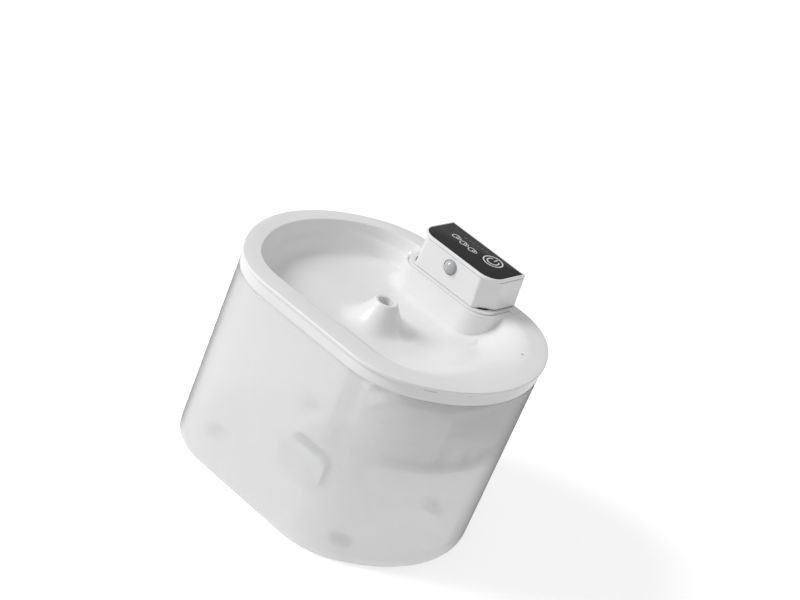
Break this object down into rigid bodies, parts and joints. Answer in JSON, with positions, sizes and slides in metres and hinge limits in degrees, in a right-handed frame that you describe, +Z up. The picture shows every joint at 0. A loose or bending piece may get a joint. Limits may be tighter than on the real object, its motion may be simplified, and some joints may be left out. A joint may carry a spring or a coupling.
{
  "type": "pet water fountain",
  "caption": "Cordless pet water fountain: oval frosted tank, white drinking tray with spout, sensor head, pump and filter cartridge that lift out.",
  "frame": {"origin": "on the surface that the feet stand on, under the middle of the tank", "axes": "+Z up, +X along the tank towards the filter cartridge's end, -Y towards the side that the motion sensor faces"},
  "size_m": [0.1992, 0.1666, 0.1583],
  "materials": {
    "frosted_clear": "frosted clear plastic",
    "white_gloss": "moulded white, satin gloss",
    "white_matte": "moulded white, fine texture",
    "panel_black": "glossy black with printed icons",
    "lens_pearl": "pearly translucent dome",
    "grey_plastic": "mid grey, matt",
    "foam_black": "open-cell foam",
    "grille_plastic": "pale grey, moulded",
    "clear_tube": "clear tube",
    "milky_tube": "milky liner",
    "clear_tray": "thin clear tray",
    "resin_orange": "fine orange beads",
    "carbon_black": "coarse black granules",
    "film_white": "thin non-woven sheet",
    "rubber_pale": "soft pale rubber",
    "rubber_dark": "soft dark rubber",
    "board_green": "circuit board",
    "steel": "steel",
    "copper": "enamelled copper winding",
    "ferrite": "dark ferrite",
    "cell_wrap": "shrink-wrapped cell"
  },
  "bodies": {
    "tank": {"tank": "frosted_clear", "tank_feet": "rubber_pale"},
    "tray": {"dish": "white_gloss"},
    "head": {"head_shell": "white_gloss", "touch_panel": "panel_black", "sensor_lens": "lens_pearl", "motion_sensor": "steel", "sensor_board": "board_green", "control_board": "board_green", "touch_springs": "steel", "charging_port": "steel", "head_seal": "rubber_dark", "head_base": "white_gloss", "head_screws": "steel", "power_tower": "white_gloss", "cell_holder": "white_matte", "battery_cell": "cell_wrap", "transmitter_coil": "copper", "coil_ferrite": "ferrite"},
    "plug": {"port_plug": "rubber_pale"},
    "pump": {"pump_body": "white_gloss", "pump_cap": "white_gloss", "pump_base": "white_matte", "pump_feet": "rubber_dark", "inset_plate": "grey_plastic", "shaft_bush": "white_matte", "rotor_shaft": "steel", "stator_core": "steel", "stator_coil": "copper", "pickup_coil": "copper"},
    "intake": {"intake_grille": "grille_plastic", "intake_foam": "foam_black"},
    "rotor": {"impeller": "white_matte", "rotor_magnet": "ferrite"},
    "tube": {"riser_tube": "clear_tube", "tube_sleeve": "milky_tube"},
    "cartridge": {"filter_holder": "frosted_clear", "granule_tray": "clear_tray", "resin_media": "resin_orange", "carbon_media": "carbon_black"},
    "film": {"filter_film": "film_white"}
  },
  "joints": [
    {"name": "tray_lift", "type": "slide", "parent": "tank", "child": "tray", "axis": [0, 0, 1], "range_m": [0, 0.1053]},
    {"name": "head_lift", "type": "slide", "parent": "tray", "child": "head", "axis": [0, 0, 1], "range_m": [0, 0.0359]},
    {"name": "pump_lift", "type": "slide", "parent": "tank", "child": "pump", "axis": [0, 0, 1], "range_m": [0, 0.0748]},
    {"name": "tube_lift", "type": "slide", "parent": "tank", "child": "tube", "axis": [0, 0, 1], "range_m": [0, 0.1032]},
    {"name": "cartridge_lift", "type": "slide", "parent": "tank", "child": "cartridge", "axis": [0, 0, 1], "range_m": [0, 0.0783]},
    {"name": "film_lift", "type": "slide", "parent": "cartridge", "child": "film", "axis": [0, 0, 1], "range_m": [0, 0.0117]},
    {"name": "intake_slide", "type": "slide", "parent": "pump", "child": "intake", "axis": [0, 1, 0], "range_m": [-0.02, 0]},
    {"name": "impeller_spin", "type": "hinge", "parent": "pump", "child": "rotor", "pos_m": [0, -0.0073, 0.016], "axis": [0, 1, 0], "continuous": true},
    {"name": "port_plug_hinge", "type": "hinge", "parent": "head", "child": "plug", "pos_m": [0, 0.07785, 0.1449], "axis": [-1, 0, 0], "range_deg": [0, 100]}
  ],
  "couplings": [
    {"joint": "pump_lift", "follows": "tray_lift", "ratio": 0.7103},
    {"joint": "tube_lift", "follows": "tray_lift", "ratio": 0.98},
    {"joint": "cartridge_lift", "follows": "tray_lift", "ratio": 0.7435},
    {"joint": "film_lift", "follows": "tray_lift", "ratio": 0.1111}
  ]
}
